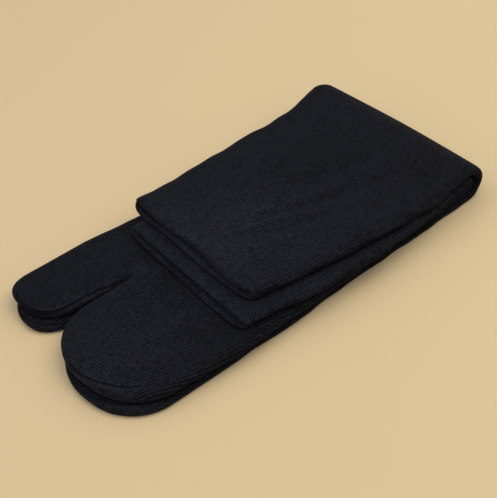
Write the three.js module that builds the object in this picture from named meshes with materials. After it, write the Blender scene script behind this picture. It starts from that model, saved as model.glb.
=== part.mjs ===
// A folded pair of split-toe (tabi) socks, in millimetres, +Z up.
// Each sock is one knitted tube, laid flat: two walls with a thin hollow between them, open at the cuff and closed
// round the big toe and round the other four toes. The socks lie foot on foot, and both legs are turned back over
// the feet together, so the leg of the outer sock wraps round the leg of the inner one.
// The feet point along -X with the big toes at +Y. The origin is under the middle of the pair, on its flat underside.
import * as THREE from "three";
import { mergeVertices } from "three/addons/utils/BufferGeometryUtils.js";

// ---- driving dimensions -------------------------------------------------------------------------------------
const WALL = 2.0; // one thickness of terry-backed knit
const HOLLOW = 0.4; // between the two walls of a tube that is laid flat
const TUBE = 2 * WALL + HOLLOW; // one sock, laid flat
const LAYER_GAP = 0.3; // between one sock and the next
const PITCH = TUBE + LAYER_GAP; // from one layer of the stack to the next
const FOLD_X = 90.2; // where the feet end and the turn begins, on the centre line
const FOLD_Z = 2 * PITCH - LAYER_GAP / 2; // height of the turn's axis
const FOLD_SLANT = 0.086; // mm along X for each mm across: the turn isn't quite square to the feet
const ROOT_EASE = 5; // the cleft's rounded sides flatten out over this length, before its root
const INNER_ROOT_SHIFT = 3; // the hollow divides this much behind the cleft's own root

// How many quads lie along and across each stretch.
const COUNT = { toe: 11, foot: 8, turn: 8, leg: 9, bigToe: 4, toes: 7, side: 4 };

// Each sock: the layer that its foot and leg lie in, the outline of its two toe pockets, and its width further on.
// left and right are the +Y and -Y edges. A toe pocket runs from its tip to a shoulder on each side.
const OUTER_SOCK = {
  name: "sock_outer",
  footLayer: 0,
  legLayer: 3,
  root: { x: -55, y: 17.6 },
  bigToe: {
    tip: { x: -103.4, y: 35 },
    left: { x: -80, y: 58.6, power: 2.1 },
    right: { x: -84, y: 18.6, power: 2.2 },
  },
  toes: {
    tip: { x: -112.4, y: -22 },
    left: { x: -76, y: 17.6, power: 2.0 },
    right: { x: -88, y: -53.4, power: 2.15 },
  },
  foot: [
    { x: -55, left: 57.0, right: -55.3 },
    { x: -20, left: 53.8, right: -56.3 },
    { x: 30, left: 52.6, right: -56.0 },
    { x: 70, left: 53.2, right: -56.4 },
    { x: 90.2, left: 54.8, right: -56.0 },
  ],
  leg: [
    { x: 90.2, left: 55.8, right: -57.4 },
    { x: 64, left: 50.4, right: -59.2 },
    { x: 36, left: 49.6, right: -57.8 },
    { x: 12, left: 50.8, right: -55.2 },
    { x: -10, left: 51.6, right: -49.8 },
    { x: -32, left: 51.6, right: -43.8 },
  ],
  cuff: { x: -32.0, slant: 0.09 },
};
const INNER_SOCK = {
  name: "sock_inner",
  footLayer: 1,
  legLayer: 2,
  root: { x: -55, y: 17.6 },
  bigToe: {
    tip: { x: -100.8, y: 40 },
    left: { x: -84, y: 58.8, power: 2.6 },
    right: { x: -80, y: 20.2, power: 2.3 },
  },
  toes: {
    tip: { x: -109.6, y: -17 },
    left: { x: -82, y: 18.4, power: 2.0 },
    right: { x: -84, y: -53.4, power: 2.2 },
  },
  foot: [
    { x: -55, left: 56.8, right: -57.0 },
    { x: -34, left: 53.2, right: -57.2 },
    { x: 20, left: 51.2, right: -57.0 },
    { x: 70, left: 51.6, right: -56.6 },
    { x: 90.2, left: 53.0, right: -55.6 },
  ],
  leg: [
    { x: 90.2, left: 53.0, right: -56.2 },
    { x: 60, left: 49.4, right: -60.2 },
    { x: 24, left: 47.6, right: -61.0 },
    { x: -8, left: 44.6, right: -58.8 },
    { x: -26, left: 42.6, right: -53.8 },
    { x: -41.6, left: 41.6, right: -51.4 },
  ],
  cuff: { x: -41.6, slant: 0.102 },
};

// ---- small helpers ------------------------------------------------------------------------------------------
const steps = (from, to, count) =>
  Array.from({ length: count + 1 }, (_, i) => from + ((to - from) * i) / count);
const layerMiddle = (layer) => TUBE / 2 + layer * PITCH;
const ease = (t) => t * t * (3 - 2 * t);

// The value of a table's column at x: a smooth curve through its rows, with each row's slope taken from its neighbours.
function tableValue(rows, x, column) {
  const sign = Math.sign(rows.at(-1).x - rows[0].x);
  let i = 0;
  while (i < rows.length - 2 && (x - rows[i + 1].x) * sign > 0) i++;
  const slope = (n) => {
    const a = rows[Math.max(0, n - 1)];
    const b = rows[Math.min(rows.length - 1, n + 1)];
    return (b[column] - a[column]) / (b.x - a.x);
  };
  const a = rows[i];
  const b = rows[i + 1];
  const span = b.x - a.x;
  const t = (x - a.x) / span;
  const u = 1 - t;
  return (
    a[column] * (1 + 2 * t) * u * u +
    b[column] * (3 - 2 * t) * t * t +
    span * t * u * (slope(i) * u - slope(i + 1) * t)
  );
}

// One edge of a toe pocket: a quarter of a superellipse from the tip to its shoulder, then a straight run to the root.
function pocketEdge(tip, shoulder, end, x) {
  if (x >= shoulder.x) {
    return shoulder.y + ((end.y - shoulder.y) * (x - shoulder.x)) / Math.max(end.x - shoulder.x, 1e-9);
  }
  const away = (shoulder.x - x) / (shoulder.x - tip.x);
  return tip.y + (shoulder.y - tip.y) * (1 - away ** shoulder.power) ** (1 / shoulder.power);
}

// The flat section of a tube: along its top from left to right, down the right side, back, and up the left side.
// breaks are the across positions of the top's points, and round.left and round.right the bulge of each side.
function ringOf(breaks, half, round) {
  const sides = steps(0, Math.PI, COUNT.side);
  const left = breaks[0];
  const right = breaks.at(-1);
  const top = breaks.map((y) => [y, half]);
  const down = sides.slice(1, -1).map((a) => [right - round.right * Math.sin(a), half * Math.cos(a)]);
  const back = [...breaks].reverse().map((y) => [y, -half]);
  const up = sides.slice(1, -1).map((a) => [left + round.left * Math.sin(a), -half * Math.cos(a)]);
  return [...top, ...down, ...back, ...up];
}

// Puts a section's (across, through) points in space, on a station of the sock's folded middle surface.
const place = (ring, station) =>
  ring.map(
    ([y, n]) =>
      new THREE.Vector3(
        station.x - n * Math.sin(station.turn) + station.slant * y,
        y,
        station.z + n * Math.cos(station.turn),
      ),
  );

// ---- the tube, as rings -------------------------------------------------------------------------------------
// Rings of one toe pocket, tip first. side says on which side the cleft lies: "right" for the big toe.
function pocketRings(sock, pocket, side, quads, inset) {
  const rootX = sock.root.x + (inset ? INNER_ROOT_SHIFT : 0);
  const tip = { x: pocket.tip.x + inset, y: pocket.tip.y };
  const z = layerMiddle(sock.footLayer);
  const half = TUBE / 2 - inset;
  const edge = (name, sign, x) => {
    const shoulder = { ...pocket[name], y: pocket[name].y - sign * inset };
    const end =
      name === side
        ? { x: rootX, y: sock.root.y }
        : { x: rootX, y: tableValue(sock.foot, Math.max(rootX, sock.foot[0].x), name) - sign * inset };
    return pocketEdge(tip, shoulder, end, x);
  };
  return steps(0, 1, COUNT.toe).map((t) => {
    const x = tip.x + (rootX - tip.x) * (1 - Math.cos((t * Math.PI) / 2));
    const left = edge("left", 1, x);
    const right = edge("right", -1, x);
    const near = Math.min(1, (x - tip.x) / TUBE);
    const height = half * Math.sqrt(1 - (1 - near) ** 2);
    const bulge = Math.min(height, (left - right) / 3);
    const closing = bulge * Math.sqrt(Math.max(0, Math.min(1, (rootX - x) / ROOT_EASE)));
    const round = { left: side === "left" ? closing : bulge, right: side === "right" ? closing : bulge };
    const ring = ringOf(steps(left - round.left, right + round.right, quads), height, round);
    return place(ring, { x, z, turn: 0, slant: 0 });
  });
}

// Rings of the single tube: foot, turn and leg, from the cleft's root to the cuff.
function tubeRings(sock, inset) {
  const rootX = sock.root.x + (inset ? INNER_ROOT_SHIFT : 0);
  const half = TUBE / 2 - inset;
  const footZ = layerMiddle(sock.footLayer);
  const legZ = layerMiddle(sock.legLayer);
  const radius = (legZ - footZ) / 2;
  const stations = [];
  steps(rootX, FOLD_X, COUNT.foot).forEach((x) => {
    const share = Math.max(0, x / FOLD_X);
    stations.push({ x, z: footZ, turn: 0, slant: FOLD_SLANT * ease(share), row: sock.foot, at: x });
  });
  steps(0, Math.PI, COUNT.turn)
    .slice(1, -1)
    .forEach((turn) => {
      const x = FOLD_X + radius * Math.sin(turn);
      const z = FOLD_Z - radius * Math.cos(turn);
      stations.push({ x, z, turn, slant: FOLD_SLANT, share: turn / Math.PI });
    });
  steps(FOLD_X, sock.cuff.x, COUNT.leg).forEach((x, i) => {
    const slant = FOLD_SLANT + ((sock.cuff.slant - FOLD_SLANT) * i) / COUNT.leg;
    stations.push({ x, z: legZ, turn: Math.PI, slant, row: sock.leg, at: x });
  });
  return stations.map((station, i) => {
    const edge = (name) => {
      if (station.row) return tableValue(station.row, station.at, name);
      return THREE.MathUtils.lerp(sock.foot.at(-1)[name], sock.leg[0][name], station.share);
    };
    const left = edge("left") - inset - half;
    const right = edge("right") + inset + half;
    const middle = left + ((right - left) * COUNT.bigToe) / (COUNT.bigToe + COUNT.toes);
    const split = THREE.MathUtils.lerp(sock.root.y, middle, Math.min(1, i / 3));
    const breaks = [...steps(left, split, COUNT.bigToe), ...steps(split, right, COUNT.toes).slice(1)];
    return place(ringOf(breaks, half, { left: half, right: half }), station);
  });
}

// ---- closed surfaces ----------------------------------------------------------------------------------------
// Adds the quads between each ring and the next. Flipped turns the faces round, for the hollow's skin.
function addRings(corners, rings, flipped) {
  for (let i = 0; i + 1 < rings.length; i++) {
    const count = rings[i].length;
    for (let j = 0; j < count; j++) {
      const a = rings[i][j];
      const b = rings[i][(j + 1) % count];
      const c = rings[i + 1][(j + 1) % count];
      const d = rings[i + 1][j];
      corners.push(...(flipped ? [a, d, c, a, c, b] : [a, b, c, a, c, d]));
    }
  }
}

// Welds loose triangles by position and drops the ones that have shrunk to nothing, as at a toe's tip.
function weld(corners) {
  const loose = new THREE.BufferGeometry().setFromPoints(corners);
  const merged = mergeVertices(loose, 1e-3);
  const kept = [];
  for (let i = 0; i < merged.index.count; i += 3) {
    const [a, b, c] = [0, 1, 2].map((n) => merged.index.getX(i + n));
    if (a !== b && b !== c && c !== a) kept.push(a, b, c);
  }
  merged.setIndex(kept);
  merged.computeVertexNormals();
  return merged;
}

// One sock: an outer skin and the skin of its hollow, joined by the rim of the cuff.
function sockGeometry(sock) {
  const corners = [];
  const rims = [0, WALL].map((inset) => {
    const flipped = inset > 0;
    addRings(corners, pocketRings(sock, sock.bigToe, "right", COUNT.bigToe, inset), flipped);
    addRings(corners, pocketRings(sock, sock.toes, "left", COUNT.toes, inset), flipped);
    const tube = tubeRings(sock, inset);
    addRings(corners, tube, flipped);
    return tube.at(-1);
  });
  addRings(corners, rims, false);
  return weld(corners);
}

const blackKnit = (color) => new THREE.MeshStandardMaterial({ color, roughness: 0.95, metalness: 0 });

function makeSock(sock, color) {
  const mesh = new THREE.Mesh(sockGeometry(sock), blackKnit(color));
  mesh.name = sock.name;
  return mesh;
}

const pair = new THREE.Group();
pair.add(makeSock(OUTER_SOCK, 0x1b1b21));
pair.add(makeSock(INNER_SOCK, 0x1d1d24));

// Puts the origin under the middle of the pair.
const box = new THREE.Box3().setFromObject(pair);
const middle = box.getCenter(new THREE.Vector3());
pair.children.forEach((sock) => sock.geometry.translate(-middle.x, -middle.y, -box.min.z));

export default pair;
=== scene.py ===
# %% [markdown]
# # A folded pair of split-toe socks
# Each sock is one knitted tube. It is laid flat, so it has two walls, and it ends in two pockets: one for
# the big toe and one for the other four. The socks lie foot on foot, and both legs are turned back over the
# feet together. The outer sock is at the bottom and at the top of the stack, and the inner one lies between
# its foot and its leg.
#
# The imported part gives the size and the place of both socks. This script gives them softer edges, cuffs
# that gape a little, creases, toe seams and the knit itself. Lengths are in millimetres until a mesh is
# made.

import math

import bpy
import numpy as np
from mathutils import Matrix, Vector


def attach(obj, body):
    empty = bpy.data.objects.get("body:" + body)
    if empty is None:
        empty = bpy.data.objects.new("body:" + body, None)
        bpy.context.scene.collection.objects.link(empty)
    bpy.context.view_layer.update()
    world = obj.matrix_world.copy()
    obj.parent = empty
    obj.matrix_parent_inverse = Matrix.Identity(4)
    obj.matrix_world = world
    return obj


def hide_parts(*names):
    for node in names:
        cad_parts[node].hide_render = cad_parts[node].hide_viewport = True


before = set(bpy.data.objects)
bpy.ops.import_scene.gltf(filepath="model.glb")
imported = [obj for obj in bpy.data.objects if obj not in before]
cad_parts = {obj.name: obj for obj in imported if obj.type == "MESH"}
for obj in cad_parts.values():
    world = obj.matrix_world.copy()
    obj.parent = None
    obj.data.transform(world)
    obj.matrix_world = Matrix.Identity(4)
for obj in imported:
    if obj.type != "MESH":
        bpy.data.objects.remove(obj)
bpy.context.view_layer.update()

# %% [markdown]
# ## Sizes
# These are the thickness of the knit, the height of each layer, the place of the turn, and a short table of
# edges for each stretch of each sock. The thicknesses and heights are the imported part's own. The edges are
# within a millimetre of its edges, and one shoulder of the inner big toe is 2 mm further forward. The tables
# are measured from a point near the middle of the feet, and CENTRE moves them so that the origin comes under
# the middle of the pair.

# %% Driving dimensions
WALL = 2.0  # one thickness of knit
HOLLOW = 0.4  # between the two walls of a flat tube
TUBE = 2 * WALL + HOLLOW
PITCH = TUBE + 0.3  # from one layer of the stack to the next
FOLD_X = 90.2  # where the feet end and the turn begins
FOLD_Z = 2 * PITCH - 0.15  # height of the turn's axis
FOLD_SLANT = 0.086  # mm along the foot for each mm across it
CENTRE = np.array([4.192, 1.151, 0.0])
TOP_ROUND = 5.2  # how far in from a side the upper wall starts to roll down
UNDER_ROUND = 2.0  # the same for the wall underneath, which is pressed tight
LEAST_ROUND = 0.2  # no roll is tighter than this
RIM = WALL / 2  # radius of the cuff's edge
TIP_LENGTH = 4.0  # a pocket reaches its full thickness over this length
ROOT_EASE = 9.0  # the cleft's sides flatten out over this length
ROOT_STEP = 1.5  # how far the cleft's root moves back for each mm inside the outer skin

OUTER = {
    "foot_layer": 0,
    "leg_layer": 3,
    "root": (-55.0, 17.6),
    "big_toe": {"tip": (-103.4, 35.0), "left": (-80.0, 58.6, 2.1), "right": (-84.0, 18.6, 2.2)},
    "toes": {"tip": (-112.4, -22.0), "left": (-76.0, 17.6, 2.0), "right": (-88.0, -53.4, 2.15)},
    "foot": {
        "x": [-55.0, -20.0, 30.0, 70.0, 90.2],
        "left": [57.0, 53.8, 52.6, 53.2, 54.8],
        "right": [-54.8, -55.7, -55.3, -55.8, -56.0],
    },
    "leg": {
        "x": [-32.0, -10.0, 12.0, 36.0, 64.0, 90.2],
        "left": [50.8, 51.0, 50.6, 49.6, 50.4, 55.8],
        "right": [-43.8, -49.8, -55.2, -57.8, -59.2, -57.4],
    },
    "cuff": (-32.0, 0.09),
    "gape": 1.9,  # how far the upper wall stands up at the cuff, and further at its left corner
    "corner": 0.6,
    "reach": 2.2,  # how far the lower wall lies past the upper one there
    "lift": (8.0, 28.0, 1.9),  # where along the leg its right edge stands up, over what length, and how far
}
INNER = {
    "foot_layer": 1,
    "leg_layer": 2,
    "root": (-55.0, 17.6),
    "big_toe": {"tip": (-100.2, 41.0), "left": (-86.0, 59.0, 2.7), "right": (-80.0, 20.2, 2.3)},
    "toes": {"tip": (-109.6, -17.0), "left": (-82.0, 18.4, 2.0), "right": (-84.0, -53.4, 2.2)},
    "foot": {
        "x": [-55.0, -34.0, 20.0, 70.0, 90.2],
        "left": [56.8, 53.2, 51.2, 51.6, 53.0],
        "right": [-57.0, -57.2, -57.0, -56.6, -55.6],
    },
    "leg": {
        "x": [-41.6, -26.0, -8.0, 24.0, 60.0, 90.2],
        "left": [41.6, 42.6, 44.6, 47.6, 49.4, 53.0],
        "right": [-51.4, -53.8, -58.8, -61.0, -60.2, -56.2],
    },
    "cuff": (-41.6, 0.102),
    "gape": 0.45,
    "corner": 0.2,
    "reach": 1.8,
    "lift": (0.0, 26.0, 0.8),
}
print("a flat tube is", TUBE, "mm thick, and the stack", 3 * PITCH + TUBE, "mm")

# %% [markdown]
# ## The shape of a flat tube
# A sock could be drawn by hand, or simulated as cloth. Here it is worked out, because its shape is simple
# to say. Lay the sock out straight. Every point then has a place along it, a place across it, and a height
# through the thickness. The outline gives the two edges at each place along, and a section runs round
# between them. Bending the straight sock round the turn afterwards is one more function, so the outline
# never has to know about the fold.

# %% Curves through short tables
def table(rows, x, column):
    """A smooth curve through a table: a cubic in each gap, with end slopes from the rows on both sides."""
    knots = np.array(rows["x"])
    values = np.array(rows[column])
    n = np.arange(len(knots))
    before, after = np.maximum(n - 1, 0), np.minimum(n + 1, len(knots) - 1)
    slopes = (values[after] - values[before]) / (knots[after] - knots[before])
    i = np.clip(np.searchsorted(knots, x, side="right") - 1, 0, len(knots) - 2)
    span = knots[i + 1] - knots[i]
    t = (x - knots[i]) / span
    u = 1 - t
    ends = values[i] * (1 + 2 * t) * u**2 + values[i + 1] * (3 - 2 * t) * t**2
    return ends + span * t * u * (slopes[i] * u - slopes[i + 1] * t)


def smooth(x, start, end):
    """0 before start and 1 past end, with a soft S between them."""
    t = np.clip((x - start) / (end - start), 0, 1)
    return t * t * (3 - 2 * t)


def hump(x, centre, width):
    """A bell: 1 at the centre, and a third of that one width away."""
    return np.exp(-(((x - centre) / width) ** 2))


def ripple(x, y, size, seed):
    """A smooth uneven field from about -1 to 1: six sine waves of about that length, each its own way."""
    r = np.random.default_rng(seed)
    total = 0
    angles, phases, stretches = r.uniform(0, math.tau, 6), r.uniform(0, math.tau, 6), r.uniform(0.7, 1.6, 6)
    for angle, phase, stretch in zip(angles, phases, stretches):
        k = math.tau / (size * stretch)
        total = total + np.sin(k * (x * math.cos(angle) + y * math.sin(angle)) + phase)
    return total / 3


# %% [markdown]
# ## Edges
# A toe pocket's outline is a quarter of a superellipse on each side, from its tip to its shoulder, and then
# nearly straight to the bottom of the cleft. Past that, the edges come from the tables, and round the turn
# they pass evenly from the foot's last row to the leg's first.

# %% Edges of the pockets and of the tube
def turn_radius(sock):
    """Half the height between the middle of the foot and the middle of the leg."""
    return (sock["leg_layer"] - sock["foot_layer"]) * PITCH / 2


def leg_x(sock, a):
    """Where a place along the straight sock comes to lie on the leg."""
    return 2 * FOLD_X + math.pi * turn_radius(sock) - a


def cuff_end(sock):
    """The cuff's place along the straight sock."""
    return 2 * FOLD_X + math.pi * turn_radius(sock) - sock["cuff"][0]


def turned(sock, a):
    """0 on the foot and 1 on the leg, with an even passage round the turn."""
    return np.clip((a - FOLD_X) / (math.pi * turn_radius(sock)), 0, 1)


def tube_edge(sock, a, side):
    """The edge's place across, for places a along: the foot's table, an even passage, the leg's table."""
    share = turned(sock, a)
    foot = table(sock["foot"], np.minimum(a, FOLD_X), side)
    leg = table(sock["leg"], np.minimum(leg_x(sock, a), FOLD_X), side)
    return foot * (1 - share) + leg * share


def pocket_edge(tip, shoulder, end, a):
    """A quarter superellipse from tip to shoulder, then a straight run to end."""
    sx, sy, power = shoulder
    away = np.clip((sx - a) / (sx - tip[0]), 0, 1)
    curve = tip[1] + (sy - tip[1]) * (1 - away**power) ** (1 / power)
    run = sy + (end[1] - sy) * np.clip((a - sx) / (end[0] - sx), 0, 1)
    return np.where(a < sx, curve, run)


# %% [markdown]
# ## Sections
# The section is a flat band with rolled sides. It runs across the upper wall, down the right side, back
# across the lower wall and up the left side. Each rolled side is two quarter ellipses: a wide one that
# meets the wall that shows, and a tight one that meets the wall that is pressed down. On the leg the two
# swap, because the turn has put the other wall on top.

# %% One section at every place along
ROLL = 8  # steps round each half of a side


def spaced(count):
    """Shares from 0 to 1 that lie closer together near both ends."""
    t = np.linspace(0, 1, count + 1)
    return t - 0.5 * np.sin(math.tau * t) / math.tau


def section(left, right, half, upper, lower, shares):
    """Points of the section at each place along: (across, through), rows by columns.

    left and right are the edges, half is half the thickness, upper and lower give the (left, right) roll of
    each wall, and shares place the points across a wall. All but shares have one value for each row."""

    def col(values):
        return np.asarray(values, float)[:, None]

    angle = np.linspace(0, math.pi, 2 * ROLL + 1)[None, 1:-1]
    top_l, top_r = col(left - upper[0]), col(right + upper[1])
    low_l, low_r = col(left - lower[0]), col(right + lower[1])
    top = top_l + (top_r - top_l) * shares
    low = low_l + (low_r - low_l) * shares
    quarter = angle < math.pi / 2
    roll_r = np.where(quarter, col(upper[1]), col(lower[1]))
    roll_l = np.where(quarter, col(upper[0]), col(lower[0]))
    down = col(right) + roll_r * (1 - np.sin(angle))
    up = (col(left) - roll_l * (1 - np.sin(angle)))[:, ::-1]
    high = col(half)
    side = high * np.cos(angle)
    across = np.concatenate([top, down, low[:, ::-1], up], axis=1)
    through = np.concatenate([high + 0 * top, side, 0 * low - high, side[:, ::-1]], axis=1)
    return across, through


# %% [markdown]
# ## Bending, creasing and the gaping cuffs
# These functions take the straight sock's points to where they lie. The outer leg's upper wall gets listed
# creases: long shallow troughs that run the way the ribs run. Near the cuff the upper wall lifts a little and
# the lower wall reaches a little further, because the upper one has further to go round the turn. The right
# edges of both legs stand up a little, which leaves a dark gap under each.

# %% Creases of the outer leg's upper wall
CREASES = {  # each from (x0, y0) to (x1, y1): how wide, and how high it stands (a trough is below 0)
    "x0": [-9, -14, -10, 24, 20, -38, 50],
    "y0": [-3, -13, -8, 0, -18, 12, -30],
    "x1": [42, 32, 16, 70, 78, 10, 84],
    "y1": [-23, -33, -19, -14, -34, 6, -38],
    "wide": [2.3, 2.4, 2.2, 5.0, 5.0, 7.0, 7.0],
    "high": [-1.3, -1.2, 0.8, -0.7, -0.65, -0.45, -0.4],
}


def creases(x, y):
    """The sum of the creases: each is a bell across its line, fading out at both of the line's ends."""
    total = np.zeros_like(x)
    for x0, y0, x1, y1, wide, high in zip(*CREASES.values()):
        along = np.array([x1 - x0, y1 - y0], float)
        length = np.hypot(*along)
        along /= length
        s = (x - x0) * along[0] + (y - y0) * along[1]
        off = (y - y0) * along[0] - (x - x0) * along[1]
        fade = smooth(s, -0.15 * length, 0.3 * length) * (1 - smooth(s, 0.6 * length, 1.15 * length))
        total += high * np.exp(-((off / wide) ** 2)) * fade
    return total


# %% From the straight sock to the folded one
OUTERMOST = 1.5 * PITCH + TUBE / 2  # radius of the turn's outer skin


def soften(sock, a, y, n, outside):
    """Small moves before the fold: the cuff's gape and blunt corners, the creases, the raised right edge."""
    x = leg_x(sock, a)
    on_leg = smooth(x, FOLD_X, FOLD_X - 25) * (a > FOLD_X)
    to_cuff = x - sock["cuff"][0]
    upper = smooth(-n, -1.6, 1.6)  # 1 on the wall that the turn puts on top
    to_side = np.minimum(tube_edge(sock, a, "left") - y, y - tube_edge(sock, a, "right"))
    # The upper wall stands up at the cuff, most in the middle and at the left corner.
    gape = sock["gape"] * (0.55 + 0.45 * np.clip(1 - (y / 54) ** 2, 0, 1))
    gape = gape * (1 + 0.25 * ripple(y, 0 * y, 30, 5))
    corner = sock["corner"] * hump(y, 50, 12) * hump(to_cuff, 0, 16)
    raised = -upper * (gape * hump(to_cuff, 0, 3 + 4 * sock["gape"]) + corner) * on_leg
    # The lower wall reaches past it, and the corners are drawn in.
    reach = (1 - upper) * sock["reach"] * hump(to_cuff, 0, 9) * smooth(to_side, -5, 12)
    reach = reach + 0.6 * ripple(y, 40 * upper, 42, sock["leg_layer"]) * hump(to_cuff, 0, 12)
    blunt = 0.5 * smooth(to_side, 4, 0) * hump(to_cuff, 0, 7)
    # The right edge stands up along part of the leg.
    centre, length, most = sock["lift"]
    lift = -most * hump(x, centre, length) * smooth(y, -28, -54) * on_leg
    lift = lift * (1 + 0.3 * ripple(x, 0 * x, 24, 12))
    if sock is OUTER and outside:
        raised = raised - creases(x, y) * smooth(-n, 0.5, 2.0) * on_leg
    return a + (reach - blunt) * on_leg, y, n + raised + lift


def fold(sock, a, y, n):
    """Bends the straight sock: straight along the foot, half a circle round the turn, and back along the leg.

    A slant along the sock, in proportion to the place across, sets the turn and the cuffs askew. The turn
    also swells out a little, most in the middle and in the outermost skin."""
    radius = turn_radius(sock)
    turn = np.clip((a - FOLD_X) / radius, 0, math.pi)
    back = np.maximum(a - FOLD_X - math.pi * radius, 0)
    share = smooth(a, 0, FOLD_X)
    cuff_x, cuff_slant = sock["cuff"]
    slant = FOLD_SLANT * share + (cuff_slant - FOLD_SLANT) * np.clip(back / (FOLD_X - cuff_x), 0, 1)
    swell = (2.0 + 1.6 * np.clip(1 - (y / 58) ** 2, 0, 1)) * np.sin(turn) ** 2 * (radius - n) / OUTERMOST
    x = np.minimum(a, FOLD_X) + (radius - n) * np.sin(turn) + swell - back + slant * y
    z = FOLD_Z - (radius - n) * np.cos(turn)
    return np.stack([x, y, z], axis=-1)


def settle(points):
    """Uneven lie of the stack: edges wander by about a millimetre, and the height by one part in forty."""
    x, y, z = points[..., 0], points[..., 1], points[..., 2]
    height = 1 + 0.022 * ripple(x, y, 60, 3) * smooth(z, 0, 5)
    wander = 0.45 * ripple(x, z * 6, 46, 8) + 0.28 * ripple(x, z * 5, 17, 21)
    wander = wander * smooth(np.abs(y), 30, 52) * smooth(x, -60, -45)
    wander = wander * (1 + 0.8 * smooth(z, 8, 13)) * (1 - 0.7 * smooth(x, 82, 98))
    return np.stack([x, y + wander, z * height], axis=-1)


# %% [markdown]
# ## The way the ribs run
# Knit has a grain: columns of stitches, called wales, that run the length of the tube. The two numbers kept
# at every point are how many wales it lies across and how far it is along, and the material draws the
# stitches from them. On the instep the wales run aslant, because the foot was twisted as it was laid down.

# %% Place of every point in the knit
WALE = 1.65  # mm from one wale to the next


def foot_drift(a, y):
    """How far the wales have moved across on top of the foot: a little everywhere, more on one slant."""
    run = np.minimum(a, -20)
    return 0.14 * (run + 75) + 4.8 * np.tanh((run + 65 - 0.55 * y) / 16)


def leg_drift(x, y):
    """The same on the upper wall of the leg, with more slant near the middle of the cuff."""
    return 0.12 * x + 8 * np.tanh((x + 6) / 28) * hump(y, -12, 26)


def grain(sock, a, y, n, count):
    """Places across the knit at both ends of each face, in mm: along the walls, and on round the sides.

    count is the number of faces across one wall. A side carries on from the wall that shows, so the wales
    don't break where the light catches them."""
    x = leg_x(sock, a)
    on_leg = a > FOLD_X + math.pi * turn_radius(sock) / 2
    ring = np.concatenate([y, y[:, :1]], axis=1), np.concatenate([n, n[:, :1]], axis=1)
    step = np.hypot(np.diff(ring[0], axis=1), np.diff(ring[1], axis=1))
    upper = y + np.where(on_leg, 0, foot_drift(a, y))
    lower = -y - 120 - np.where(on_leg, leg_drift(x, y), 0)
    k, m = count, 2 * ROLL
    # The corners of the ring: upper wall, right side, lower wall, left side.
    top = upper[:, : k + 1]
    low = lower[:, k + m : 2 * k + m + 1]
    right_step = np.cumsum(step[:, k : k + m], axis=1)
    left_step = np.cumsum(step[:, 2 * k + m :], axis=1)
    zero = np.zeros_like(right_step[:, :1])
    right_run = np.concatenate([zero, right_step], axis=1)
    left_run = np.concatenate([zero, left_step], axis=1)
    flag = on_leg[:, :1]
    right = np.where(flag, low[:, :1] + right_run[:, -1:] - right_run, top[:, -1:] - right_run)
    left = np.where(flag, low[:, -1:] - left_run, top[:, :1] + left_run[:, -1:] - left_run)
    runs = [top, right, low, left]
    return np.concatenate([r[:, :-1] for r in runs], axis=1), np.concatenate([r[:, 1:] for r in runs], axis=1)


# %% [markdown]
# ## Building the rings
# A pocket is a run of sections from its tip to the bottom of the cleft. The tube goes on from there to the
# cuff, and its first section has the points of both pockets' last ones, so the three join exactly. Then
# comes the cuff's rounded edge, and the same again a wall's thickness further in, back to the toes: a sock
# is hollow, and its inside shows at the cuff.

# %% Sections of a pocket and of the tube
BIG_TOE, TOES = 30, 60  # faces across the upper wall of each pocket


def pocket(sock, name, cleft_side, count, rows, inset):
    """Sections from a pocket's tip to the cleft's root: (along, across, through)."""
    shape = sock[name]
    root_x = sock["root"][0] + ROOT_STEP * inset
    t = np.linspace(0, 1, rows + 1)
    tip = (shape["tip"][0] + inset, shape["tip"][1])
    a = tip[0] + (root_x - tip[0]) * (1 - np.cos(t * math.pi / 2))
    a[-1] = root_x
    edges = {}
    for side, sign in (("left", 1), ("right", -1)):
        sx, sy, power = shape[side]
        outer_y = float(tube_edge(sock, np.array([root_x]), side)[0]) - sign * inset
        end = (root_x, sock["root"][1] if side == cleft_side else outer_y)
        edges[side] = pocket_edge(tip, (sx, sy - sign * inset, power), end, a)
        edges[side][-1] = end[1]
    half = TUBE / 2 - inset
    high = half * np.sqrt(1 - (1 - np.clip((a - tip[0]) / TIP_LENGTH, 0, 1)) ** 2)
    width = edges["left"] - edges["right"]
    closing = np.sqrt(np.clip((root_x - a) / ROOT_EASE, 0, 1))
    rolls = []
    for size in (TOP_ROUND, UNDER_ROUND):
        roll = np.minimum(max(size - inset, LEAST_ROUND), width / 3)
        rolls.append([roll * (closing if side == cleft_side else 1) for side in ("left", "right")])
    y, n = section(edges["left"], edges["right"], high, rolls[0], rolls[1], spaced(count)[None, :])
    return np.repeat(a[:, None], y.shape[1], axis=1), y, n


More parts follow.
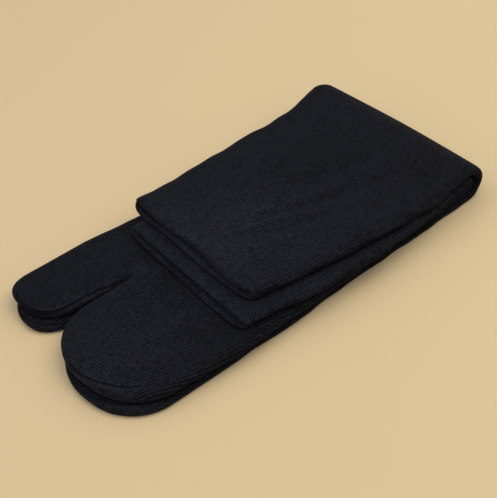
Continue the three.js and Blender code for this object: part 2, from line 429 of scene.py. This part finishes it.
def tube(sock, a, inset):
    """Sections of the tube at places a. inset, one for each, is how far inside the outer skin they lie."""
    inset = inset + 0 * a
    left, right = tube_edge(sock, a, "left") - inset, tube_edge(sock, a, "right") + inset
    over = turned(sock, a)
    up = np.maximum(TOP_ROUND + (UNDER_ROUND - TOP_ROUND) * over - inset, LEAST_ROUND)
    down = np.maximum(UNDER_ROUND + (TOP_ROUND - UNDER_ROUND) * over - inset, LEAST_ROUND)
    # The points pass from the two pockets' own spacing to an even one over 30 mm.
    even = spaced(BIG_TOE + TOES)
    root_x = sock["root"][0] + ROOT_STEP * inset
    blend = smooth(a, root_x, root_x + 30)[:, None]
    shares = []
    for roll in (up, down):
        high, low = left - roll, right + roll
        cut = ((sock["root"][1] - high) / (low - high))[:, None]
        both = np.concatenate([cut * spaced(BIG_TOE), cut + (1 - cut) * spaced(TOES)[1:]], axis=1)
        shares.append(both * (1 - blend) + even * blend)
    y, n = section(left, right, TUBE / 2 - inset, (up, up), (down, down), shares[0])
    y_low, _ = section(left, right, TUBE / 2 - inset, (up, up), (down, down), shares[1])
    k = BIG_TOE + TOES
    lower = slice(k + 2 * ROLL, 2 * k + 2 * ROLL + 1)
    y[:, lower] = y_low[:, lower]
    return np.repeat(a[:, None], y.shape[1], axis=1), y, n


# %% All the faces of one sock
def faces_of(sock, grid, count, outside):
    """The corners (faces, 4, 3), knit places and straight-sock places of the faces between sections.

    The last of a straight-sock place's four numbers is how much painted shade the material puts there: on a
    pressed underside, or on the inside of the tube away from the cuff. The inside's faces are turned round,
    so that all faces look out of the cloth."""
    a, y, n = grid
    start, end = grain(sock, a, y, n, count)
    moved = soften(sock, a, y, n, outside)
    points = settle(fold(sock, *moved)) + CENTRE
    to_cuff = cuff_end(sock) - a
    # Painted shade: the material darkens pressed undersides and the tube's inside, where shade falls.
    pressed = smooth(n * (2 * turned(sock, a) - 1) / (TUBE / 2), -0.6, 0.5) * smooth(a, -75, -50)
    painted_shade = 0.55 * pressed * smooth(to_cuff, 1, 6) if outside else smooth(to_cuff, 2.6, 4.6)
    flat = np.stack([a, y, n / (TUBE / 2), painted_shade], axis=-1)
    following = np.roll(points, -1, axis=1)
    flat_following = np.roll(flat, -1, axis=1)
    corners = np.stack([points[:-1], following[:-1], following[1:], points[1:]], axis=2)
    flats = np.stack([flat[:-1], flat_following[:-1], flat_following[1:], flat[1:]], axis=2)
    across = np.stack([start[:-1], end[:-1], end[1:], start[1:]], axis=2)
    along = np.stack([a[:-1], a[:-1], a[1:], a[1:]], axis=2)
    knit = np.stack([across, along], axis=-1) / WALE
    parts = [v.reshape(-1, 4, v.shape[-1]) for v in (corners, knit, flats)]
    return parts if outside else [v[:, ::-1] for v in parts]


def sock_faces(sock):
    """Every face of a sock, outside and inside, as quads. One that narrows to a point repeats a corner."""
    k = BIG_TOE + TOES
    root, fold_end = sock["root"][0], FOLD_X + math.pi * turn_radius(sock)
    rim_start = cuff_end(sock) - RIM
    turn_steps = 18 if sock is OUTER else 12  # the outer sock's turn is the longer one
    found = []
    # The outside skin, and then the inside one, which needs fewer rows.
    for inset, toe_rows, foot_rows, leg_rows in ((0.0, 46, 92, 84), (WALL, 14, 24, 30)):
        outside = inset == 0
        for name, cleft_side, count in (("big_toe", "right", BIG_TOE), ("toes", "left", TOES)):
            rows = pocket(sock, name, cleft_side, count, toe_rows, inset)
            found.append(faces_of(sock, rows, count, outside))
        foot = np.linspace(root + ROOT_STEP * inset, FOLD_X, foot_rows)
        turn = np.linspace(FOLD_X, fold_end, turn_steps + 1)[1:-1]
        leg = np.linspace(fold_end, rim_start, leg_rows)
        a = np.concatenate([foot, turn, leg])
        found.append(faces_of(sock, tube(sock, a, inset), k, outside))
    angle = np.linspace(0, math.pi, 9)
    rim_a, rim_inset = rim_start + RIM * np.sin(angle), RIM * (1 - np.cos(angle))
    found.append(faces_of(sock, tube(sock, rim_a, rim_inset), k, True))
    return [np.concatenate(v) for v in zip(*found)]


# %% [markdown]
# ## Toe seams
# The tip of each pocket is closed by linking: two rows of loops are chained together, which leaves a low
# ridge with a line of small holes beside it. Each seam is a line on the upper wall near the tip. Every
# point near one keeps its distance from the line and its place along it, and the material draws the ridge
# and the holes from them.

# %% Seam lines
SEAMS = {
    "outer": [
        [(-99.4, 47.5), (-102.0, 40.0), (-102.0, 33.0), (-99.4, 26.5), (-94.4, 21.5)],
        [(-105, -1), (-109.2, -9.0), (-111.2, -18), (-110.6, -28), (-107.4, -37), (-101, -45), (-93.4, -50)],
    ],
    "inner": [
        [(-97.4, 50.8), (-98.9, 46), (-99.6, 40), (-99.2, 34.6), (-97.2, 29), (-93, 24.8), (-87, 22.9)]
        + [(-78.6, 22.2), (-70.4, 20.8), (-62.8, 19.0), (-58.2, 18.0)],
        [(-107.2, -6), (-108.3, -12), (-108.2, -18), (-106.8, -25), (-104, -32.5), (-100, -39), (-95, -43.4)],
    ],
}
GATHERS = {"outer": [], "inner": [[(-96.6, -48.0), (-93.8, -44.8), (-90.8, -42.2), (-87.0, -39.6)]]}
FAR_OFF = 20.0  # mm: the distance kept for points with no seam near them


def fine_line(points, count=300):
    """The seam's points joined by a smooth curve, evenly spaced, with the distance along it."""
    p = np.array(points, float)
    t = np.arange(len(p), dtype=float)
    dense = np.linspace(0, len(p) - 1, count)
    line = np.stack([table({"x": list(t), "v": list(p[:, i])}, dense, "v") for i in (0, 1)], axis=1)
    s = np.concatenate([[0], np.cumsum(np.hypot(*np.diff(line, axis=0).T))])
    return line, s


def seam_places(points, kind):
    """For each point: place along the nearest seam, signed distance from it, and how strongly it is worked.

    The distance is negative past a seam, towards the tip or the cleft. A seam never reaches across the cleft,
    and the part that runs along the cleft is fainter."""
    place, off, on = np.zeros(len(points)), np.full(len(points), FAR_OFF), np.zeros(len(points))
    root_x, root_y = OUTER["root"]
    middle = root_y + 0.068 * np.clip(root_x - points[:, 0], 0, 26)  # the line up the cleft
    for seam, gather in [(v, False) for v in SEAMS[kind]] + [(v, True) for v in GATHERS[kind]]:
        line, s = fine_line(seam)
        low, high = line.min(axis=0) - 7, line.max(axis=0) + 7
        boxed = ((points[:, :2] > low) & (points[:, :2] < high)).all(axis=1)
        near = np.flatnonzero(boxed & ((points[:, 1] > middle) == (line[0, 1] > root_y)))
        xy = points[near, :2]
        gap = np.hypot(xy[:, None, 0] - line[None, :, 0], xy[:, None, 1] - line[None, :, 1])
        i, gap = gap.argmin(axis=1), gap.min(axis=1)
        tangent = np.gradient(line, axis=0)[i]
        away = xy - line[i]
        side = np.sign(tangent[:, 0] * away[:, 1] - tangent[:, 1] * away[:, 0])
        side = np.where(gather | (side == 0), 1, side)
        ends = smooth(s[i], 0, 3) * smooth(s[-1] - s[i], 0, 3) * (gap < 6)
        faint = 1 - 0.25 * smooth(xy[:, 0], -92, -80)
        better = gap < np.abs(off[near])
        chosen = near[better]
        place[chosen], off[chosen] = s[i][better], (side * gap)[better]
        on[chosen] = (ends * faint * (0.6 if gather or kind == "outer" else 1))[better]
    return place, off, on * smooth(points[:, 2], -0.2, 0.3)


# %% [markdown]
# ## From arrays to a mesh
# Corners that lie within a thousandth of a millimetre become one vertex. Quads that repeat a vertex become
# triangles. The knit's places and the seam's places go into two UV maps, and the seam's mask and the mask of
# painted shade into attributes.

# %% Making one sock's mesh
def build_sock(name, sock, kind):
    """Welds the faces of a sock and puts them into an object at the origin."""
    corners, knit, flats = sock_faces(sock)
    keys = np.round(corners.reshape(-1, 3) * 1000).astype(np.int64)
    _, first, index = np.unique(keys, axis=0, return_index=True, return_inverse=True)
    index = index.reshape(-1, 4)
    verts = corners.reshape(-1, 3)[first]
    flat = flats.reshape(-1, 4)[first]
    keep = index != np.roll(index, 1, axis=1)
    whole = keep.sum(axis=1) >= 3
    index, keep, knit = index[whole], keep[whole], knit[whole]
    total = keep.sum(axis=1)
    mesh = bpy.data.meshes.new(name)
    mesh.vertices.add(len(verts))
    mesh.vertices.foreach_set("co", (verts / 1000).ravel())
    mesh.loops.add(int(total.sum()))
    mesh.loops.foreach_set("vertex_index", index[keep])
    mesh.polygons.add(len(total))
    mesh.polygons.foreach_set("loop_start", np.concatenate([[0], np.cumsum(total)[:-1]]))
    mesh.polygons.foreach_set("use_smooth", np.ones(len(total), bool))
    mesh.update(calc_edges=True)
    place, off, on = seam_places(flat, kind)
    mesh.uv_layers.new(name="knit").data.foreach_set("uv", knit[keep].ravel())
    seam_uv = np.stack([place, off], axis=1)[index[keep]]
    mesh.uv_layers.new(name="seam").data.foreach_set("uv", seam_uv.ravel())
    mesh.attributes.new("seam_worked", "FLOAT", "POINT").data.foreach_set("value", on)
    # The mask of painted shade, by which the material darkens the cloth.
    mesh.attributes.new("painted_shade", "FLOAT", "POINT").data.foreach_set("value", flat[:, 3].copy())
    changed = mesh.validate()
    obj = bpy.data.objects.new(name, mesh)
    bpy.context.scene.collection.objects.link(obj)
    size = (verts.max(axis=0) - verts.min(axis=0)).round(1)
    print(name, "vertices", len(verts), "faces", len(total), "size mm", size, "repaired:", changed)
    return obj


outer_sock = build_sock("outer_sock", OUTER, "outer")
inner_sock = build_sock("inner_sock", INNER, "inner")

# %% [markdown]
# ## Black cotton knit
# The cloth is plain-knitted cotton over a little elastic, dyed a blue black. It is matte, and short loose
# fibres stand out of it, which catch the light as a soft bloom and blur the ribs in places. So the finish
# has four parts: narrow grooves between the wales, small slanted stitches along them, a fine nap over both,
# and specks of lint. Long uneven streaks let the ribs show in some places and hide in others. The wales are
# drawn at their real spacing.

# %% Helpers for materials
def linear(hex_colour):
    """A colour for a shader from an sRGB hex value: each channel goes through the sRGB curve."""
    channels = [int(hex_colour[i : i + 2], 16) / 255 for i in (1, 3, 5)]
    return [c / 12.92 if c <= 0.04045 else ((c + 0.055) / 1.055) ** 2.4 for c in channels] + [1.0]


def add(tree, kind, inputs=None, **settings):
    """Adds a node, applies its settings, and fills its inputs: a socket is linked, the rest are values."""
    made = tree.nodes.new(kind)
    for key, value in settings.items():
        setattr(made, key, value)
    for key, value in (inputs or {}).items():
        if isinstance(value, bpy.types.NodeSocket):
            tree.links.new(value, made.inputs[key])
        else:
            made.inputs[key].default_value = value
    return made


def maths(tree, operation, *values):
    """The result of one Math node."""
    made = add(tree, "ShaderNodeMath", dict(enumerate(values)), operation=operation)
    return made.outputs[0]


def noise(tree, place, scale, **inputs):
    """A noise texture's value, with that many lumps to a unit of place."""
    inputs = {"Vector": place, "Scale": scale, **{key.capitalize(): value for key, value in inputs.items()}}
    return add(tree, "ShaderNodeTexNoise", inputs).outputs["Fac"]


def ramp(tree, value, low, high, to_low=0.0, to_high=1.0):
    """A value taken from one range to another, with soft ends."""
    inputs = {"Value": value, "From Min": low, "From Max": high, "To Min": to_low, "To Max": to_high}
    return add(tree, "ShaderNodeMapRange", inputs, interpolation_type="SMOOTHSTEP").outputs["Result"]


def product(tree, first, *others):
    """Several values multiplied together, one after another."""
    for value in others:
        first = maths(tree, "MULTIPLY", first, value)
    return first


def times_plus(tree, value, by, plus):
    """value times by, plus another."""
    return maths(tree, "MULTIPLY_ADD", value, by, plus)


def mixed(tree, share, first, second, **settings):
    """Two colours mixed. The node keeps its colours in inputs 6 and 7, and in output 2."""
    inputs = {0: share, 6: first, 7: second}
    return add(tree, "ShaderNodeMix", inputs, data_type="RGBA", **settings).outputs[2]


def uv_parts(tree, name):
    """A UV map's vector, and its two values apart."""
    uv = add(tree, "ShaderNodeUVMap", uv_map=name).outputs["UV"]
    parts = add(tree, "ShaderNodeSeparateXYZ", {"Vector": uv})
    return uv, parts.outputs["X"], parts.outputs["Y"]


def mask(tree, name):
    """The value of a point attribute."""
    return add(tree, "ShaderNodeAttribute", attribute_name=name).outputs["Fac"]


def distance_from(tree, place, point):
    """Distance in metres from a point given in millimetres, in the tables' own frame."""
    centre = tuple((np.array(point) + CENTRE) / 1000)
    return add(tree, "ShaderNodeVectorMath", {0: place, 1: centre}, operation="DISTANCE").outputs["Value"]


# %% Ribs and stitches
COURSE = 1.15  # mm from one stitch to the next along a wale
TO_LEG = (50, 62)  # wales along: where the foot's look passes into the leg's
TO_BIG_TOE = (9, 15)  # wales across: where the four toes' look passes into the big toe's


def ribs(tree, shifted, across, along):
    """(groove, stitch), each from 0 to 1: the grooves between wales, and the stitches along them.

    The wales wander by about a sixth of their spacing. Stitches lean one way on one half of a wale and the
    other way on the other half."""
    wander = noise(tree, shifted, 160.0, detail=2.0)
    near = maths(tree, "PINGPONG", times_plus(tree, wander, 0.34, across), 0.5)
    lean = times_plus(tree, near, 0.9, maths(tree, "MULTIPLY", along, WALE / COURSE))
    wave = maths(tree, "COSINE", maths(tree, "MULTIPLY", lean, math.tau))
    return ramp(tree, near, 0.04, 0.30, 1.0, 0.0), times_plus(tree, wave, 0.5, 0.5)


def rib_clearness(tree, uv, across, along, past_seam, cuff, seed):
    """How clear the ribs are, up to 1: in streaks about 60 mm long and 10 mm wide.

    They are fainter on the leg and the big toe, and are lost at the cuff's edge and past the toe seams."""
    stretch = {"Vector": uv, "Scale": (0.16, 0.028, 1), "Location": (seed, seed, 0)}
    streak = noise(tree, add(tree, "ShaderNodeMapping", stretch).outputs["Vector"], 1.0, detail=3.0)
    return product(
        tree,
        ramp(tree, streak, 0.36, 0.66, 0.5, 1.0),
        ramp(tree, along, *TO_LEG, 1.0, 0.6),
        ramp(tree, across, *TO_BIG_TOE, 1.0, 0.5),
        ramp(tree, along, (cuff - 4.5) / WALE, (cuff - 1.5) / WALE, 1.0, 0.08),
        ramp(tree, past_seam, -0.9, 0.3, 0.08, 1.0),
    )


# %% Seams, height and lint
LINK = 1.7  # mm from one hole of a seam to the next


def seam_work(tree, seam_along, past_seam):
    """(hole, ridge), each from 0 to 1: a narrow channel with small holes, and a low ridge on each side."""
    worked = mask(tree, "seam_worked")
    off = maths(tree, "ABSOLUTE", past_seam)
    beat = maths(tree, "COSINE", maths(tree, "MULTIPLY", seam_along, math.tau / LINK))
    hole = product(tree, ramp(tree, beat, -0.7, 0.8, 0.5, 1.0), worked, ramp(tree, off, 0.25, 0.85, 1.0, 0.0))
    ridge = product(tree, ramp(tree, off, 0.5, 1.1), ramp(tree, off, 1.3, 2.4, 1.0, 0.0), worked)
    return hole, ridge


def relief(tree, cut, stitch, nap, hole, ridge):
    """A bumped normal from the height of every part of the knit. Heights are in parts of 0.7 mm."""
    height = times_plus(tree, cut, -0.55, 0.6)
    for layer, share in ((stitch, 0.10), (nap, 0.75), (hole, -1.1), (ridge, 0.7)):
        height = times_plus(tree, layer, share, height)
    bump = add(tree, "ShaderNodeBump", {"Height": height, "Distance": 0.0007, "Strength": 1.0})
    return bump.outputs["Normal"]


def lint(tree, shifted):
    """Pale soft specks, up to 0.8 mm across and about 17 mm apart: the share of lint at each place."""
    cells = add(tree, "ShaderNodeTexVoronoi", {"Vector": shifted, "Scale": 210.0, "Randomness": 1.0})
    speck = ramp(tree, cells.outputs["Distance"], 0.03, 0.085, 1.0, 0.0)
    lot = add(tree, "ShaderNodeSeparateColor", {"Color": cells.outputs["Color"]}).outputs[0]
    chosen = maths(tree, "GREATER_THAN", lot, 0.55)
    return maths(tree, "MULTIPLY", speck, maths(tree, "MULTIPLY", chosen, 0.10))


# %% The whole cloth
CLEFT_ROOT = (-50.5, 18.0, 9.0)  # mm: the centre of the painted highlight at the cleft's root


def cotton_knit(name, strength, seed, cuff, painted_light_centre, tip_painted_light):
    """Blue-black plain knit: grooves between the wales, slanted stitches, nap, streaks, seams and lint.

    strength is how light the cloth is over all, cuff the place of the cuff along the sock in mm,
    painted_light_centre the centre of a pool of painted light, and tip_painted_light how much paler the
    painted light makes the toe ends. seed moves the random patterns, so that the two socks differ."""
    material = bpy.data.materials.new(name)
    material.use_nodes = True
    tree = material.node_tree
    tree.nodes.clear()
    place = add(tree, "ShaderNodeTexCoord").outputs["Object"]
    shift = {"Vector": place, "Location": (seed, 0.3 * seed, 0)}
    shifted = add(tree, "ShaderNodeMapping", shift).outputs["Vector"]
    uv, across, along = uv_parts(tree, "knit")
    _, seam_along, past_seam = uv_parts(tree, "seam")

    groove, stitch = ribs(tree, shifted, across, along)
    cut = maths(tree, "MULTIPLY", groove, rib_clearness(tree, uv, across, along, past_seam, cuff, seed))
    hole, ridge = seam_work(tree, seam_along, past_seam)
    # Nap: loose fibres, clumped at 0.7 and 2.4 mm.
    fine = noise(tree, shifted, 1500.0, detail=3.0, roughness=0.7)
    clump = noise(tree, shifted, 420.0, detail=3.0, roughness=0.6)
    nap = times_plus(tree, clump, 0.25, maths(tree, "MULTIPLY", fine, 0.75))

    # Brightness: uneven with the nap and over wide patches. Painted shade darkens the grooves and the seam's
    # holes, and a painted highlight lightens the seam's ridges.
    light = product(
        tree,
        ramp(tree, nap, 0.36, 0.64, 0.2, 2.0),
        ramp(tree, noise(tree, shifted, 28.0, detail=3.0), 0.3, 0.7, 0.9, 1.1),
        times_plus(tree, cut, -0.78, 1.0),
        times_plus(tree, stitch, 0.42, 0.82),
        times_plus(tree, hole, -0.8, 1.0),
        times_plus(tree, ridge, 0.32, 1.0),
    )
    # A painted highlight at the cleft's root, and painted light that makes the leg paler towards its cuff.
    # Painted shade inside the tube and on pressed undersides. Darker on the big toe.
    light = product(
        tree,
        light,
        # painted highlight at the cleft's root
        ramp(tree, distance_from(tree, place, CLEFT_ROOT), 0.001, 0.0065, 1.45, 1.0),
        # painted shade on pressed undersides and inside the tube
        times_plus(tree, mask(tree, "painted_shade"), -0.85, 1.0),
        # painted light: the leg grows paler towards its cuff
        ramp(tree, along, 60, 138, 0.82, 1.06),
        ramp(tree, across, *TO_BIG_TOE, 1.0, 0.86),
    )
    # A pool of painted light round one point, palest there and darkening over 50 mm from there. The toe ends
    # can be painted paler too.
    light = product(
        tree,
        light,
        ramp(tree, distance_from(tree, place, painted_light_centre), 0.006, 0.052, 1.16, 0.85),
        # painted light on the toe ends
        ramp(tree, along, -100 / WALE, -80 / WALE, tip_painted_light, 1.0),
        strength,
    )
    # The dye's colour, made lighter and darker by the nap and patches and by the painted shade, highlights
    # and light above.
    dye_and_painted_light = mixed(tree, light, linear("#010102"), linear("#484a55"), clamp_factor=False)
    shader = add(
        tree,
        "ShaderNodeBsdfPrincipled",
        {
            "Base Color": mixed(tree, lint(tree, shifted), dye_and_painted_light, linear("#8d909c")),
            "Roughness": 0.92,
            "Specular IOR Level": 0.06,
            "Sheen Weight": 0.05,
            "Sheen Roughness": 0.45,
            "Sheen Tint": linear("#8f96ad"),
            "Normal": relief(tree, cut, stitch, nap, hole, ridge),
        },
    )
    add(tree, "ShaderNodeOutputMaterial", {"Surface": shader.outputs["BSDF"]})
    return material


# Each knit gets a pool of painted light round one point: on the outer leg near its cuff, and on the inner
# sock's four toes. The outer sock's toe ends are painted paler as well.
outer_knit = cotton_knit(
    "blue_black_cotton_knit_outer",
    strength=0.146,
    seed=0.11,
    cuff=234.6,
    painted_light_centre=(-16, 2, 19),
    tip_painted_light=1.35,
)
inner_knit = cotton_knit(
    "blue_black_cotton_knit_inner",
    strength=0.177,
    seed=0.47,
    cuff=229.4,
    painted_light_centre=(-98, -12, 9),
    tip_painted_light=1.0,
)
outer_sock.data.materials.append(outer_knit)
inner_sock.data.materials.append(inner_knit)
print("materials:", outer_knit.name, inner_knit.name, "wale mm:", WALE)

# %% [markdown]
# ## What the pieces are
# Each surface replaces the plain solid that it was shaped from and rides on the part's one body. The size
# of its cloth is printed: its tube slit along one side and laid out, and the cloth's area, which is half of
# the hollow mesh's skins.

def cut_size(sock):
    """(girth, length) of the slit tube, in metres: twice the mean width plus the sides, by toe to cuff."""
    a = np.linspace(sock["root"][0], cuff_end(sock), 200)
    width = (tube_edge(sock, a, "left") - tube_edge(sock, a, "right")).mean()
    return (2 * width + 5) / 1000, (a[-1] - sock["toes"]["tip"][0]) / 1000


def cloth_area(obj):
    """Half the area of a hollow sock's skins, which is the cloth's own area, in square metres."""
    areas = np.zeros(len(obj.data.polygons))
    obj.data.polygons.foreach_get("area", areas)
    return float(areas.sum() / 2)


for obj, sock, node in ((outer_sock, OUTER, "sock_outer"), (inner_sock, INNER, "sock_inner")):
    flat, cloth = cut_size(sock), cloth_area(obj)
    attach(obj, "root")
    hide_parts(node)
    print(obj.name, "cut m:", [round(v, 3) for v in flat], "cloth m2:", round(cloth, 4))

# %% [markdown]
# ## Floor, light and camera
# The floor is plain and pale. The main light is broad and soft, high on the right and a little behind the
# cuffs, so the ribs show and the cuffs' open ends lie in shade. A weaker one hangs high on the left, and a
# pale sky fills the shadows. The camera has a long lens and stands off the toes, looking down at 38
# degrees, and it is tilted a little.

# %% Floor
floor_mesh = bpy.data.meshes.new("floor")
floor_mesh.from_pydata([(-3, -3, 0), (3, -3, 0), (3, 3, 0), (-3, 3, 0)], [], [(0, 1, 2, 3)])
floor = bpy.data.objects.new("floor", floor_mesh)
bpy.context.scene.collection.objects.link(floor)
paper = bpy.data.materials.new("pale_backdrop_paper")
paper.use_nodes = True
paper_shader = paper.node_tree.nodes["Principled BSDF"]
paper_shader.inputs["Base Color"].default_value = linear("#dfc598")
paper_shader.inputs["Roughness"].default_value = 0.9
floor_mesh.materials.append(paper)

# %% Lights
def soft_light(name, place, aim, size, power, colour):
    """A square area light at a place in metres, turned to face another."""
    lamp = bpy.data.lights.new(name, "AREA")
    lamp.shape, lamp.size, lamp.energy, lamp.color = "SQUARE", size, power, linear(colour)[:3]
    obj = bpy.data.objects.new(name, lamp)
    obj.location = place
    obj.rotation_euler = (Vector(aim) - Vector(place)).to_track_quat("-Z", "Y").to_euler()
    bpy.context.scene.collection.objects.link(obj)


soft_light("key", (0.46, -0.42, 0.86), (0, 0, 0), 0.9, 4.3, "#fffbf4")
soft_light("fill", (-0.3, 0.3, 1.0), (0, 0, 0), 0.9, 1.3, "#f8f8ff")
world = bpy.data.worlds.new("sky")
bpy.context.scene.world = world
world.use_nodes = True
world.node_tree.nodes["Background"].inputs["Color"].default_value = linear("#eef0f4")
world.node_tree.nodes["Background"].inputs["Strength"].default_value = 0.74
bpy.context.scene.view_settings.view_transform = "Standard"

# %% Camera
EYE = np.array([-260.02, -371.33, 353.6]) + CENTRE  # mm
AZIMUTH, DOWN, ROLL_ANGLE = 34.72, 38.106, 10.234  # degrees: turned from +Y to +X, looking down, and tilted
LENS = 89.73  # mm on a 36 mm sensor


def camera_axes(azimuth, down, roll):
    """The camera's right, up and back axes as a matrix: look level, look down, turn, then tilt the view."""
    level = Matrix.Rotation(-math.radians(azimuth), 4, "Z") @ Matrix.Rotation(math.radians(90 - down), 4, "X")
    return level @ Matrix.Rotation(-math.radians(roll), 4, "Z")


camera_data = bpy.data.cameras.new("camera")
camera_data.lens = LENS
camera_data.sensor_width = 36
camera_data.clip_start = 0.01
camera = bpy.data.objects.new("camera", camera_data)
camera.matrix_world = Matrix.Translation(Vector(EYE / 1000)) @ camera_axes(AZIMUTH, DOWN, ROLL_ANGLE)
bpy.context.scene.collection.objects.link(camera)
bpy.context.scene.camera = camera
